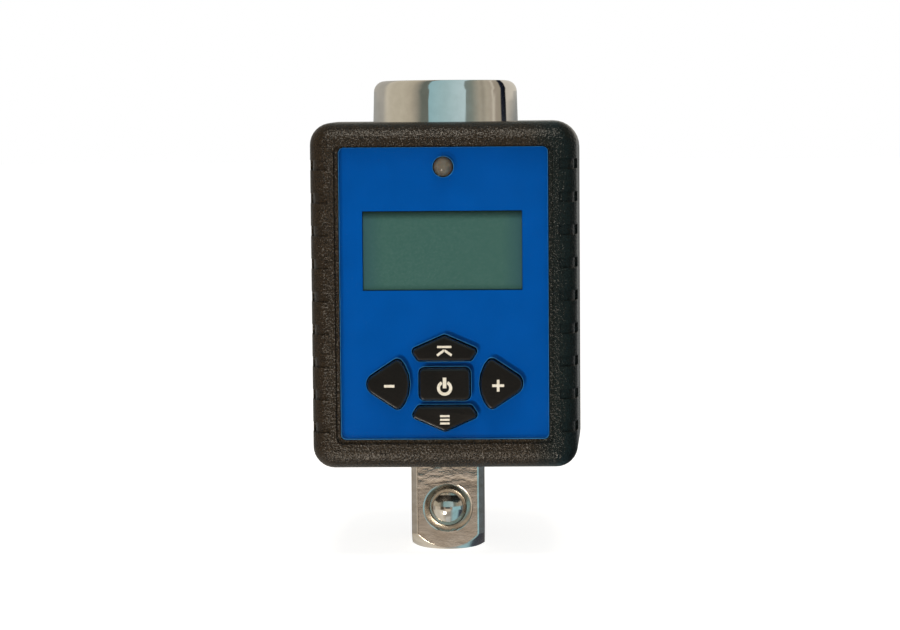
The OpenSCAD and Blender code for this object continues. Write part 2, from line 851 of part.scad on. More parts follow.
module front_cover()
    color("#2d2925")
        difference() {
            union() {
                difference() {
                    front_block();
                    slab(OVER, inner_y)
                        face_rect(cavity_w, cavity_h, cavity_r, body_zc);
                }
                outline_ring(lip_inset, lip_h, -OVER);
                bearing_block(0, inner_y - OVER);
                housing_screw_places()
                    y_cylinder(0, 0, boss_r, -boss_gap, inner_y - OVER);
                for (x = [-1, 1], z = board_screw_z)
                    y_cylinder(x * board_screw_x, z, post_r, board_y, inner_y - OVER);
            }
            slab(lens_y + ledge_drop, rim_y - OVER)
                face_rect(recess_w, recess_h, recess_r, recess_z);
            slab(floor_y, rim_y - OVER)
                face_rect(
                    panel_w + 2 * panel_fit, panel_h + 2 * panel_fit, panel_r + panel_fit, panel_z
                );
            slab(inner_y + OVER, rim_y) {
                translate([window_x, 0])
                    face_rect(
                        window_w + 2 * window_margin, window_h + 2 * window_margin, window_margin,
                        window_z
                    );
                all_key_outlines(key_gap);
            }
            y_cylinder(0, lamp_z, lamp_hole_d / 2, inner_y + OVER, rim_y);
            housing_screw_places()
                y_cylinder(0, 0, screw_r + pilot_gap, OVER, well_y - screw_reach - 1);
            for (x = [-1, 1], z = board_screw_z)
                y_cylinder(x * board_screw_x, z, board_screw_r + pilot_gap, board_y + OVER, inner_y);
            shaft_hole();
            grip_cuts()
                front_grip_section();
        }

module rear_cover()
    color("#2d2925")
        difference() {
            union() {
                difference() {
                    rear_block();
                    slab(rear_d - wall, -OVER)
                        face_rect(cavity_w, cavity_h, cavity_r, body_zc);
                }
                slab(cover_y, bay_floor_y)
                    translate([0, bay_z])
                        square([2 * (bay_half_w + bay_wall), bay_l + 2 * bay_wall], center = true);
                slab(cover_y, cover_boss_y)
                    face_rect(
                        cover_w + 2 * ledge_rim, cover_h + 2 * ledge_rim, cover_r + ledge_rim, bay_z
                    );
                bearing_block(bay_floor_y + OVER, 0);
                housing_screw_places()
                    y_cylinder(0, 0, tube_r, rear_d - wall + OVER, boss_gap);
            }
            battery_bay();
            housing_screw_places() {
                y_cylinder(0, 0, well_r, rear_d + OVER, well_y);
                y_cylinder(0, 0, screw_r + hole_gap, rear_d, -OVER);
            }
            outline_ring(lip_inset - AXIAL_GAP, lip_h + AXIAL_GAP, -OVER);
            shaft_hole();
            for (x = [-1, 1])
                slab(bay_y + OVER, bay_floor_y - OVER)
                    translate([x * contact_tab_x, bay_z1 - contact_t / 2 - AXIAL_GAP / 2])
                        square(
                            [contact_tab_w + 2 * AXIAL_GAP, contact_t + 3 * AXIAL_GAP], center = true
                        );
            grip_cuts()
                rear_grip_section();
        }

// Space for the two cells and their cover, with a rib and a screw boss left between the cells
module battery_bay() {
    slab(rear_d + OVER, cover_y)
        face_rect(cover_w + 2 * cover_gap, cover_h + 2 * cover_gap, cover_r + cover_gap, bay_z);
    difference() {
        slab(rear_d, bay_y)
            translate([0, bay_z])
                square([2 * bay_half_w, bay_l], center = true);
        slab(cell_y, bay_y - OVER)
            translate([0, bay_z])
                square([centre_rib_t, bay_l - 2 * (contact_t + SEAT_GAP)], center = true);
        y_cylinder(0, bay_z, centre_boss_r, cover_boss_y, bay_y - OVER);
    }
    y_cylinder(
        0, bay_z, cover_screw_r + thread_gap, cover_boss_y + OVER,
        cover_boss_y - cover_screw_reach - 1
    );
}

module housing_screws()
    color("#4a4a48")
        housing_screw_places() {
            difference() {
                y_cylinder(0, 0, screw_head_r, well_y + screw_head_h, well_y);
                cross_slot(well_y + screw_head_h, 0.9, 2.6);
            }
            y_cylinder(0, 0, screw_r, well_y + THIN, well_y - screw_reach);
        }

// Cross recess in a screw head that faces +Y
module cross_slot(y, depth, size)
    for (a = [0, 90])
        translate([0, y + OVER, 0])
            rotate([90, a, 0])
                translate([-size / 2, -0.3, 0])
                    cube([size, 0.6, depth + OVER]);

module face_lens()
    color([0.82, 0.88, 0.95, 0.35])
        difference() {
            slab(film_y, lens_y)
                difference() {
                    face_rect(panel_w, panel_h, panel_r, panel_z);
                    all_key_outlines(key_gap);
                }
            y_cylinder(0, lamp_z, lamp_hole_d / 2, film_y + OVER, lens_y - OVER);
        }

module face_print()
    color("#0a5aa8")
        difference() {
            slab(floor_y, film_y)
                difference() {
                    face_rect(panel_w, panel_h, panel_r, panel_z);
                    all_key_outlines(key_gap);
                    translate([window_x, window_z])
                        square([window_w, window_h], center = true);
                }
            y_cylinder(0, lamp_z, lamp_hole_d / 2, floor_y + OVER, film_y - OVER);
        }

module lcd_module()
    color("#4a6b62")
        slab(glass_back_y, inner_y)
            translate([window_x, window_z])
                square([glass_w, glass_h], center = true);

module lcd_frame()
    color("#e8e4da")
        slab(board_y, inner_y)
            translate([window_x, window_z])
                difference() {
                    square([glass_w + 2 * (frame_gap + frame_wall), frame_h], center = true);
                    square([glass_w + 2 * frame_gap, glass_h + 2 * frame_gap], center = true);
                }

module lcd_contact_strips()
    color("#3b3f44")
        for (z = [-1, 1])
            slab(board_y, glass_back_y)
                translate([window_x, window_z + z * (glass_h / 2 - strip_h)])
                    square([glass_w - 2, strip_h], center = true);

module warning_lamp()
    let (
        r = lamp_d / 2,
        tip_y = lens_y - lamp_proud,
        flange_r = r + 0.45,
        flange_t = 0.9,
        lead = 0.5,
        lead_x = 1.27
    )
    color("#8a8378")
        union() {
            translate([0, tip_y + r, lamp_z])
                sphere(r = r);
            y_cylinder(0, lamp_z, r, inner_y + AXIAL_GAP + flange_t, tip_y + r);
            y_cylinder(0, lamp_z, flange_r, inner_y + AXIAL_GAP + flange_t, inner_y + AXIAL_GAP);
            for (x = [-lead_x, lead_x])
                translate([x - lead / 2, inner_y + AXIAL_GAP + flange_t / 2, lamp_z - lead / 2])
                    cube([lead, board_y - inner_y - AXIAL_GAP - flange_t / 2, lead]);
        }

// Cap with a rounded front edge, the flange that holds it behind the face, and its plunger.
// The first child is the cap's outline, the next two are the outlines nearer its front, and
// the last is the flange.
module key_solid(place)
    color("#1f1d1b")
        union() {
            hull() {
                slab(flange_y + THIN, key_y + key_edge_r)
                    children(0);
                slab(key_y + key_edge_r, key_y + key_edge_r * 0.29)
                    children(1);
                slab(key_y + key_edge_r, key_y)
                    children(2);
            }
            slab(flange_y + key_flange_t, flange_y)
                children(3);
            y_cylinder(place.x, place.y, plunger_r, plunger_y, flange_y + key_flange_t - THIN);
        }

module key_power()
    key_solid(plunger_places[0]) {
        power_outline(0);
        power_outline(-key_edge_r * 0.29);
        power_outline(-key_edge_r);
        power_outline(key_flange_w);
    }

module key_peak()
    key_solid(plunger_places[1]) {
        peak_outline(0);
        peak_outline(-key_edge_r * 0.29);
        peak_outline(-key_edge_r);
        peak_outline(key_flange_w);
    }

module key_mode()
    key_solid(plunger_places[2]) {
        mode_outline(0);
        mode_outline(-key_edge_r * 0.29);
        mode_outline(-key_edge_r);
        mode_outline(key_flange_w);
    }

module key_plus()
    key_solid(plunger_places[3]) {
        plus_outline(0);
        plus_outline(-key_edge_r * 0.29);
        plus_outline(-key_edge_r);
        plus_outline(key_flange_w);
    }

module key_minus()
    key_solid(plunger_places[4]) {
        minus_outline(0);
        minus_outline(-key_edge_r * 0.29);
        minus_outline(-key_edge_r);
        minus_outline(key_flange_w);
    }

module keypad_mat()
    color("#55524e")
        difference() {
            union() {
                slab(board_y, board_y - mat_t)
                    translate([-mat_w / 2, mat_z0])
                        square([mat_w, mat_z1 - mat_z0]);
                for (p = plunger_places)
                    y_cylinder(p.x, p.y, dome_r, board_y, board_y - mat_t - dome_h);
            }
            for (p = plunger_places)
                y_cylinder(p.x, p.y, plunger_r + plunger_gap, board_y + OVER, inner_y);
        }

module circuit_board()
    color("#1f6b3a")
        difference() {
            slab(board_back_y, board_y)
                translate([-board_w / 2, board_z0])
                    square([board_w, board_z1 - board_z0]);
            housing_screw_places()
                y_cylinder(0, 0, board_notch_r, board_back_y + OVER, board_y - OVER);
            for (x = [-1, 1], z = board_screw_z)
                y_cylinder(
                    x * board_screw_x, z, board_screw_r + hole_gap, board_back_y + OVER, board_y - OVER
                );
            translate([0, 0, collar_z0 - shaft_blend])
                cylinder(h = body_h, r = collar_in_d / 2 + board_room - THIN);
        }

// A part on the back of the board, with its centre at x and z
module on_board(x, z, w, h, t)
    translate([x - w / 2, board_back_y, z - h / 2])
        cube([w, t, h]);

module board_components()
    color("#2a2a2c") {
        on_board(torsion_d / 2, gauge_z + 8, 9, 9, 1.3);
        on_board(-torsion_d / 2 - 1, gauge_z + 9, 6, 5, 1.2);
        on_board(6.7 - board_w / 2, gauge_z + 1, 4, 2.6, 1.4);
        for (i = [0, 1])
            on_board(board_w / 2 - 7.2, journal_z1 + 1.5 + 3 * i, 3.2, 1.6, 1);
        for (i = [0 : 3])
            on_board(4.7 + 2.6 * i - board_w / 2, board_z1 - 3.6, 1.2, 2, 0.6);
        y_cylinder(board_w / 2 - 5.7, gauge_z - 3, 1.6, board_back_y + 3.4, board_back_y);
    }

module board_screws()
    color("#9a9a96")
        for (x = [-1, 1], z = board_screw_z)
            translate([x * board_screw_x, 0, z]) {
                difference() {
                    y_cylinder(0, 0, 1.6, board_back_y + 1.1, board_back_y);
                    cross_slot(board_back_y + 1.1, 0.6, 2);
                }
                y_cylinder(0, 0, board_screw_r, board_back_y + THIN, inner_y + 0.6);
            }

module buzzer()
    let (
        r = 4.5,
        x = 3 + r - board_w / 2,
        z = journal_z1 + 4.6,
        h = 4.4
    )
    color("#1d1d1d")
        difference() {
            y_cylinder(x, z, r, board_back_y + h, board_back_y);
            y_cylinder(x, z, 0.9, board_back_y + h + OVER, board_back_y + h - 1.5);
        }

module strain_gauges()
    color("#c58b3c")
        for (y = [0, 1])
            mirror([0, y, 0])
                translate([0, gauge_flats / 2, 0]) {
                    translate([-gauge_w / 2, 0, gauge_z - gauge_l / 2])
                        cube([gauge_w, gauge_t, gauge_l]);
                    for (x = [-gauge_pad_x, gauge_pad_x])
                        translate([x - gauge_pad / 2, gauge_t - THIN, gauge_pad_z - gauge_pad / 2])
                            cube([gauge_pad, gauge_pad_t + THIN, gauge_pad]);
                }

gauge_face_y = gauge_flats / 2 + gauge_t + gauge_pad_t;

// Routes from the front gauge and round the shaft from the rear one, for the right side
front_gauge_route = [
    [gauge_pad_x, -gauge_face_y, gauge_pad_z], [gauge_pad_x, -gauge_face_y - 0.8, gauge_pad_z],
    [1.8, -gauge_face_y - 1.6, gauge_pad_z - 1.6], [2.2, board_back_y + 1.2, gauge_pad_z - 2.4],
    [2.4, board_back_y + 0.8, gauge_pad_z - 2.6], [2.4, board_back_y, gauge_pad_z - 2.6]
];
rear_gauge_route = [
    [gauge_pad_x, gauge_face_y, gauge_pad_z], [gauge_pad_x, gauge_face_y + 0.8, gauge_pad_z],
    [torsion_d / 2 - 2.5, gauge_face_y + 1.1, gauge_pad_z - 1],
    [torsion_d / 2 + 1.9, gauge_face_y - 2.9, gauge_pad_z - 2],
    [torsion_d / 2 + 2.9, -1.5, gauge_pad_z - 3],
    [torsion_d / 2 + 0.7, -gauge_face_y, gauge_pad_z - 3.6],
    [5.6, board_back_y + 1.6, gauge_pad_z - 4],
    [5, board_back_y + 0.8, gauge_pad_z - 4], [5, board_back_y, gauge_pad_z - 4]
];

module gauge_leads()
    color("#b23b2e")
        for (x = [0, 1])
            mirror([x, 0, 0]) {
                tube(curve(front_gauge_route, 2), gauge_lead_r, LEAD_SIDES);
                tube(curve(rear_gauge_route, 3), gauge_lead_r, LEAD_SIDES);
            }

module battery_cell()
    rotate_extrude()
        polygon([
            [0, 0], [cell_r - cell_edge_r, 0], [cell_r, cell_edge_r],
            [cell_r, cell_l - cell_pip_h - cell_edge_r], [cell_r - cell_edge_r, cell_l - cell_pip_h],
            [cell_pip_r, cell_l - cell_pip_h], [cell_pip_r, cell_l], [0, cell_l]
        ]);

cell_low_z = bay_z0 + contact_t + contact_spring_l + contact_gap;
cell_high_z = bay_z1 - contact_t - contact_spring_l - contact_gap;

module battery_cells()
    color("#3d4650") {
        translate([-cell_x, cell_y, cell_low_z])
            battery_cell();
        translate([cell_x, cell_y, cell_high_z])
            mirror([0, 0, 1])
                battery_cell();
    }

// A plate against an end wall of the bay, drawn at the bottom end and facing +Z
module contact_plate(x0, x1, bump_x)
    let (margin = 0.6) {
        translate([x0, bay_y + margin, bay_z0])
            cube([x1 - x0, cover_y - cover_lip_h - bay_y - 2 * margin, contact_t]);
        translate([bump_x, cell_y, bay_z0])
            cylinder(h = contact_t + contact_bump, r = 1.5);
    }

module top_side()
    translate([0, 0, bay_z0 + bay_z1])
        mirror([0, 0, 1])
            children();

module contact_plates()
    let (
        end_x = bay_half_w - 0.5,
        mid_x = centre_boss_r + 0.5
    )
    color("#b9b6ac") {
        contact_plate(-end_x, end_x, cell_x);
        top_side()
            contact_plate(-end_x, -mid_x, -cell_x);
        top_side()
            translate([mid_x, bay_y + 0.6, bay_z0])
                cube([end_x - mid_x, cover_y - cover_lip_h - bay_y - 1.2, contact_t]);
        for (x = [-1, 1])
            translate([
                x * contact_tab_x - contact_tab_w / 2, contact_tab_y, bay_z1 - contact_t
            ])
                cube([contact_tab_w, bay_y + 1 - contact_tab_y, contact_t]);
    }

contact_coil_l = contact_spring_l - contact_wire - 2 * contact_gap;
contact_points = coil_points(3.6, 2, contact_coil_l, 2.25);

module contact_spring()
    translate([0, cell_y, bay_z0 + contact_t + contact_wire / 2 + contact_gap])
        tube(contact_points, contact_wire / 2, COIL_SIDES);

module contact_springs()
    color("#b9b6ac") {
        translate([-cell_x, 0, 0])
            contact_spring();
        translate([cell_x, 0, 0])
            top_side()
                contact_spring();
    }

// Route of the right battery lead, from its contact's tab round the shaft to the board
battery_lead_x = collar_in_d / 2 + 3.9;
battery_route = [
    [contact_tab_x, contact_tab_y + 0.6, bay_z1 - contact_t],
    [contact_tab_x, contact_tab_y + 0.6, bay_z1 - contact_t - 1],
    [cell_x + 4.2, contact_tab_y - 1.4, bay_z1 - 3.5],
    [battery_lead_x, collar_in_d / 4, bay_z1 - 7], [battery_lead_x + 1.4, 0.5, bay_z1 - 10.5],
    [battery_lead_x + 1.2, -collar_in_d / 4, bay_z1 - 13],
    [battery_lead_x + 0.2, board_back_y + 2.6, bay_z1 - 14.4],
    [battery_lead_x, board_back_y + 1, bay_z1 - 14.6],
    [battery_lead_x, board_back_y, bay_z1 - 14.6]
];

module battery_leads()
    color("#1c1c1e")
        for (x = [0, 1])
            mirror([x, 0, 0])
                tube(curve(battery_route, 3), battery_lead_r, LEAD_SIDES);

module battery_cover()
    let (
        lip_w = 2 * (bay_half_w - cover_gap),
        lip_len = bay_l - 2 * cover_gap,
        seat_y = rear_d - cover_head_h - AXIAL_GAP
    )
    color("#2d2925")
        difference() {
            union() {
                slab(rear_d, cover_y)
                    face_rect(cover_w, cover_h, cover_r, bay_z);
                y_cylinder(0, bay_z, cover_boss_r, cover_y + THIN, cover_boss_y);
                slab(cover_y + THIN, cover_y - cover_lip_h)
                    translate([0, bay_z])
                        difference() {
                            square([lip_w, lip_len], center = true);
                            square([lip_w - 2 * cover_lip_t, lip_len - 2 * cover_lip_t], center = true);
                        }
            }
            y_cylinder(0, bay_z, cover_head_r + 0.3, rear_d + OVER, seat_y);
            y_cylinder(0, bay_z, cover_screw_r + hole_gap, rear_d, cover_boss_y - OVER);
        }

module battery_cover_screw()
    let (seat_y = rear_d - cover_head_h - AXIAL_GAP)
    color("#8d8c88")
        union() {
            difference() {
                y_cylinder(0, bay_z, cover_head_r, seat_y + cover_head_h, seat_y);
                translate([0, 0, bay_z])
                    cross_slot(seat_y + cover_head_h, 0.9, 2.8);
            }
            y_cylinder(0, bay_z, cover_screw_r, seat_y + THIN, cover_boss_y - cover_screw_reach);
        }

echo(detent_spring_least_gap = least_gap(detent_points, detent_wire));
echo(contact_spring_least_gap = least_gap(contact_points, contact_wire));

torque_shaft();
detent_ball();
detent_spring();
front_cover();
rear_cover();
housing_screws();
face_lens();
face_print();
lcd_module();
lcd_frame();
lcd_contact_strips();
warning_lamp();
key_power();
key_plus();
key_minus();
key_peak();
key_mode();
keypad_mat();
circuit_board();
board_components();
board_screws();
buzzer();
strain_gauges();
gauge_leads();
battery_cells();
contact_plates();
contact_springs();
battery_leads();
battery_cover();
battery_cover_screw();
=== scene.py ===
"""Looks of a digital torque adapter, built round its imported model. All sizes are in metres."""

import json
import math

import bmesh
import bpy
from mathutils import Matrix, Quaternion, Vector

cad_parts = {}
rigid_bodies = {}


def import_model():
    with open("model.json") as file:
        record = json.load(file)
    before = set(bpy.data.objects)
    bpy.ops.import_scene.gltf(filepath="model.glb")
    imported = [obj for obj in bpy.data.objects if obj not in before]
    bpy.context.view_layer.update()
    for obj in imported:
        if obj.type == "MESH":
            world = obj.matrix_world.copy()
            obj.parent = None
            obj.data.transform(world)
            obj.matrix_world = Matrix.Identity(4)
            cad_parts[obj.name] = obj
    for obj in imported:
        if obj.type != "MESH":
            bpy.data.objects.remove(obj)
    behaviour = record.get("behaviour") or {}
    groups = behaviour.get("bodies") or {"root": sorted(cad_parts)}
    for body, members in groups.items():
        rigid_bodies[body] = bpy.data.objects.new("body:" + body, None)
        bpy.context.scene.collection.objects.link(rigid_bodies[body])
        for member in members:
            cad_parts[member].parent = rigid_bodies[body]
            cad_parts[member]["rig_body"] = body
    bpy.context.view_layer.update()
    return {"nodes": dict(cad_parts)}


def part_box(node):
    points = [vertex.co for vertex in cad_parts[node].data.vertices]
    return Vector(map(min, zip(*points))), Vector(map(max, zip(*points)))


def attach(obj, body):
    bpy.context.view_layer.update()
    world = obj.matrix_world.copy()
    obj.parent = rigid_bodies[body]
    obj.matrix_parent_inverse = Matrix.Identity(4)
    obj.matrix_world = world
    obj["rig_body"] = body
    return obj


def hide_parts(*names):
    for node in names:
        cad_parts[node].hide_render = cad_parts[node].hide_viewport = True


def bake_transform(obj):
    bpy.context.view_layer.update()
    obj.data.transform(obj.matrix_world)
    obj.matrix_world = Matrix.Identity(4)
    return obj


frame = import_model()

# Camera: a portrait lens almost level with the display and a little to its right. It looks
# a little down and leans as the photograph does.
azimuth, elevation, lean = (math.radians(degrees) for degrees in (1.4, 4.4, 0.461))
back = Vector((
    math.sin(azimuth) * math.cos(elevation),
    -math.cos(azimuth) * math.cos(elevation),
    math.sin(elevation),
))
aim = Vector((0.0005, 0, 0.0407))
distance = 0.45
camera = bpy.data.objects.new("camera", bpy.data.cameras.new("camera"))
camera.data.sensor_width = 36
camera.data.lens = 102.43
camera.data.clip_start = 0.01
camera.location = aim + back * distance
camera.rotation_mode = "QUATERNION"
camera.rotation_quaternion = (-back).to_track_quat("-Z", "Y") @ Quaternion((0, 0, 1), -lean)
bpy.context.scene.collection.objects.link(camera)
bpy.context.scene.camera = camera

# Torque shaft: one forging of chrome vanadium steel with satin chrome plating. The collar above
# the housing is turned and polished, and the square drive keeps the skin of the forging.
mm = 0.001


def linear(hex_colour):
    """The linear colour of an sRGB hex value."""
    shares = [int(hex_colour[i : i + 2], 16) / 255 for i in (1, 3, 5)]
    return [s / 12.92 if s <= 0.04045 else ((s + 0.055) / 1.055) ** 2.4 for s in shares] + [1]


def add(tree, kind, inputs=(), **settings):
    """Adds a shader node with its settings, and sets its inputs or links them to other nodes."""
    node = tree.nodes.new("ShaderNode" + kind)
    for name, value in settings.items():
        setattr(node, name, value)
    shown = [socket for socket in node.inputs if socket.enabled]
    for name, value in dict(inputs).items():
        socket = shown[name] if isinstance(name, int) else node.inputs[name]
        if isinstance(value, bpy.types.Node):
            value = next(output for output in value.outputs if output.enabled)
        if isinstance(value, bpy.types.NodeSocket):
            tree.links.new(value, socket)
        else:
            socket.default_value = value
    return node


def new_finish(name, **sockets):
    """A material with one Principled shader. Returns it with its tree, shader and place."""
    finish = bpy.data.materials.new(name)
    finish.use_nodes = True
    tree = finish.node_tree
    shader = tree.nodes["Principled BSDF"]
    for socket, value in sockets.items():
        shader.inputs[socket.replace("_", " ")].default_value = value
    return finish, tree, shader, add(tree, "TexCoord").outputs["Object"]


def blotches(tree, place, size, low=0.35, high=0.65, **settings):
    """Soft blotches of a given size, from 0 to 1, where low and high set how hard they are."""
    noise = add(tree, "TexNoise", {"Vector": place, "Scale": 1 / size, **settings})
    return add(tree, "MapRange", {"Value": noise, "From Min": low, "From Max": high})


def shade(tree, factor, dark, light):
    """A colour that goes from dark to light as the factor goes from 0 to 1."""
    ramp = add(tree, "ValToRGB", {"Fac": factor})
    for stop, colour in zip(ramp.color_ramp.elements, (dark, light)):
        stop.color = linear(colour)
    return ramp.outputs["Color"]


def mixed(tree, factor, first, second):
    """A colour that goes from the first to the second as the factor goes from 0 to 1."""
    mix = add(tree, "Mix", {0: factor, 1: first, 2: second}, data_type="RGBA")
    return mix.outputs[2]


def relief(tree, height, depth, normal=None):
    """The normals of a relief of a given depth, laid over those of another."""
    inputs = {"Height": height, "Distance": depth, "Strength": 1.0}
    if normal is not None:
        inputs["Normal"] = normal
    return add(tree, "Bump", inputs)


def dressed(node, finish, bevel=0.0, sharp=28, rides=True):
    """A merged copy of a CAD node with smooth rounds, which stands for the node.

    Edges that turn by more than the sharp angle, in degrees, stay sharp or get the bevel.
    """
    source = frame["nodes"][node]
    same_place, same_plane, crease = 0.002 * mm, math.radians(0.3), math.radians(sharp)
    shape = bmesh.new()
    shape.from_mesh(source.data)
    bmesh.ops.remove_doubles(shape, verts=shape.verts, dist=same_place)
    bmesh.ops.dissolve_limit(
        shape, angle_limit=same_plane, verts=shape.verts, edges=shape.edges
    )
    for face in shape.faces:
        face.smooth = True
    for edge in shape.edges:
        edge.smooth = edge.is_manifold and edge.calc_face_angle(0) < crease
    mesh = bpy.data.meshes.new(node + "_surface")
    shape.to_mesh(mesh)
    shape.free()
    piece = bpy.data.objects.new(node + "_surface", mesh)
    mesh.materials.append(finish)
    bpy.context.scene.collection.objects.link(piece)
    if bevel:
        edges = piece.modifiers.new("edges", "BEVEL")
        edges.width = bevel
        edges.segments = 2
        edges.limit_method = "ANGLE"
        edges.angle_limit = crease
    flats = piece.modifiers.new("flats", "WEIGHTED_NORMAL")
    flats.keep_sharp = True
    if rides:
        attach(piece, source["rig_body"])
    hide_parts(node)
    return piece


# Satin chrome on steel: a neutral mirror, blurred a little on the turned collar. The forged
# drive under it is duller and warmer, and its skin is wavy near the housing and smooth lower down.
# The tool left nine rings to a millimetre on the collar, coarser than real ones so that they show.
chrome, tree, shader, place = new_finish("satin_chrome_on_steel", Metallic=1.0)
level = add(tree, "SeparateXYZ", {"Vector": place}).outputs["Z"]
body_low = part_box("front_cover")[0].z
smooth_z, wavy_z = 9.5 * mm, 13.5 * mm
forged = add(
    tree, "MapRange", {"Value": level, "From Min": body_low + 4 * mm, "From Max": body_low}
)
rings = add(tree, "Mapping", {"Vector": place, "Scale": (0.04 / mm, 0.04 / mm, 9 / mm)})
turning = add(tree, "TexNoise", {"Vector": rings, "Scale": 1.0, "Detail": 2.0})
flattened = add(tree, "Mapping", {"Vector": place, "Scale": (1, 1, 2.2)})
waves = blotches(tree, flattened, 2.6 * mm, Detail=4.0)
wave_height = add(
    tree, "MapRange",
    {"Value": level, "From Min": smooth_z, "From Max": wavy_z, "To Min": 0.12, "To Max": 1.0},
    interpolation_type="SMOOTHSTEP",
)
skin = add(tree, "Math", {0: waves, 1: wave_height}, operation="MULTIPLY")
skin = add(tree, "Math", {0: skin, 1: forged}, operation="MULTIPLY")
grit = blotches(tree, place, 0.22 * mm, Detail=2.0)
grit = add(tree, "Math", {0: grit, 1: forged}, operation="MULTIPLY")
normal = relief(tree, turning, 0.0004 * mm)
normal = relief(tree, skin, 0.03 * mm, normal)
normal = relief(tree, grit, 0.002 * mm, normal)
tree.links.new(normal.outputs[0], shader.inputs["Normal"])
polish = add(tree, "MapRange", {"Value": forged, "To Min": 0.04, "To Max": 0.16})
wear = blotches(tree, place, 1.6 * mm, Detail=3.0)
polish = add(tree, "Math", {0: wear, 1: 0.03, 2: polish}, operation="MULTIPLY_ADD")
tree.links.new(polish.outputs[0], shader.inputs["Roughness"])
clean = shade(tree, wear, "#dfdcd6", "#e6e3dd")
dull = shade(tree, waves, "#c9bfb2", "#d9d2c8")
tree.links.new(mixed(tree, forged, clean, dull), shader.inputs["Base Color"])
shaft = dressed("torque_shaft", chrome, bevel=0.16 * mm)

# The sharp outer edges of the drive are broken, so that they catch the light. Those nearer its
# axis or at its very tip stay sharp, because bevels there would cross each other.
shaft.modifiers["edges"].limit_method = "WEIGHT"
shaft.modifiers["edges"].use_clamp_overlap = False
weights = shaft.data.attributes.new("bevel_weight_edge", "FLOAT", "EDGE")
inner_radius, crown_z = 6.45 * mm, 0.75 * mm
for edge in shaft.data.edges:
    start, end = (shaft.data.vertices[i].co for i in edge.vertices)
    outer = min(start.xy.length, end.xy.length) > inner_radius
    if edge.use_edge_sharp and outer and crown_z < min(start.z, end.z) < body_low:
        weights.data[edge.index].value = 1.0

# Detent ball and its spring: a polished bearing ball that stands out of the drive, pushed by
# a coil of spring wire drawn bright. The coil is pressed together as the ball goes in.
# Polished bearing steel is a warm mirror under a slight haze.
ball_chrome, tree, shader, place = new_finish("polished_bearing_steel", Metallic=1.0)
haze = blotches(tree, place, 0.9 * mm, Detail=4.0)
shine = add(tree, "MapRange", {"Value": haze, "To Min": 0.07, "To Max": 0.16})
tree.links.new(shine.outputs[0], shader.inputs["Roughness"])
tree.links.new(shade(tree, haze, "#c9c3b8", "#d6d1c8"), shader.inputs["Base Color"])
dressed("detent_ball", ball_chrome)


def plain_finish(name, dark, light, size, depth, **sockets):
    """A finish whose colour drifts between two shades, in blotches with a slight relief."""
    finish, tree, shader, place = new_finish(name, **sockets)
    drift = blotches(tree, place, size, Detail=3.0)
    tree.links.new(shade(tree, drift, dark, light), shader.inputs["Base Color"])
    tree.links.new(relief(tree, drift, depth).outputs[0], shader.inputs["Normal"])
    return finish


# Drawn wire is a bright grey with a soft shine.
wire = plain_finish(
    "drawn_spring_wire", "#77736c", "#9a968e", 0.3 * mm, 0.002 * mm, Metallic=1.0, Roughness=0.3
)
spring = dressed("detent_spring", wire, sharp=65, rides=False)
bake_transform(spring)

# Strain gauges and their leads: etched foil on polyimide film bonded to the flats of the
# torsion section, and thin silicone wires to the board.


def paint(node, finish):
    """Gives a CAD node its finish."""
    frame["nodes"][node].data.materials.clear()
    frame["nodes"][node].data.materials.append(finish)


def stripes(tree, place, pitch):
    """Stripes across x, a pitch apart. At a scale of one they are a tenth of pi apart."""
    scale = math.pi / 10 / pitch
    return add(tree, "TexWave", {"Vector": place, "Scale": scale}, bands_direction="X")


# The film is amber, with the paler lines of the foil, drawn coarser than real ones so that they
# show. The insulation of the leads is a dull red rubber.
film, tree, shader, place = new_finish("polyimide_film_with_foil", Roughness=0.35)
ladder = stripes(tree, place, 0.349 * mm)
tree.links.new(shade(tree, ladder, "#b5762c", "#d8a860"), shader.inputs["Base Color"])
paint("strain_gauges", film)
red_lead = plain_finish(
    "red_silicone_insulation", "#8f1f1a", "#a82a22", 0.5 * mm, 0.003 * mm, Roughness=0.55
)
paint("gauge_leads", red_lead)

# Housing halves: spark textured black ABS, screwed together from behind and clamped round the
# neck of the shaft. Fine speckles in its colour are partly its own tone and partly painted glints
# of the grain. It is a brown black, painted a darker blue black on the right as painted shade.
spark, tree, shader, place = new_finish(
    "spark_textured_abs", Roughness=0.24, IOR=1.5, Specular_IOR_Level=0.2
)
shade_from_x, shade_full_x = 13 * mm, 19 * mm
coarse = add(tree, "TexNoise", {"Vector": place, "Scale": 1 / (0.42 * mm), "Detail": 1.0})
fine = add(tree, "TexNoise", {"Vector": place, "Scale": 1 / (0.2 * mm), "Detail": 1.0})
normal = relief(tree, coarse, 0.16 * mm)
normal = relief(tree, fine, 0.07 * mm, normal)
tree.links.new(normal.outputs[0], shader.inputs["Normal"])
# Partly painted glints: fine speckles lighten the colour at random, besides the plastic's own
# tone.
speckle_and_glints = blotches(tree, place, 0.22 * mm, 0.3, 0.75, Detail=1.0)
# Painted shade: the colour turns a darker blue black towards the right of the housing, where less
# light falls.
side = add(tree, "SeparateXYZ", {"Vector": place}).outputs["X"]
side = add(
    tree, "MapRange", {"Value": side, "From Min": shade_from_x, "From Max": shade_full_x},
    interpolation_type="SMOOTHSTEP",
)
brown = shade(tree, speckle_and_glints, "#0e0904", "#34281a")
shaded_blue_black = shade(tree, speckle_and_glints, "#030706", "#101a18")
tree.links.new(mixed(tree, side, brown, shaded_blue_black), shader.inputs["Base Color"])
dressed("rear_cover", spark)

# Housing screws: four steel screws with black oxide, whose pan heads with a cross recess lie
# down in wells of the rear half.
# Black oxide is a dark grey that still shines as metal.
black_oxide = plain_finish(
    "black_oxide_steel", "#2b2a28", "#3c3a37", 0.4 * mm, 0.004 * mm, Metallic=1.0, Roughness=0.42
)
dressed("housing_screws", black_oxide)

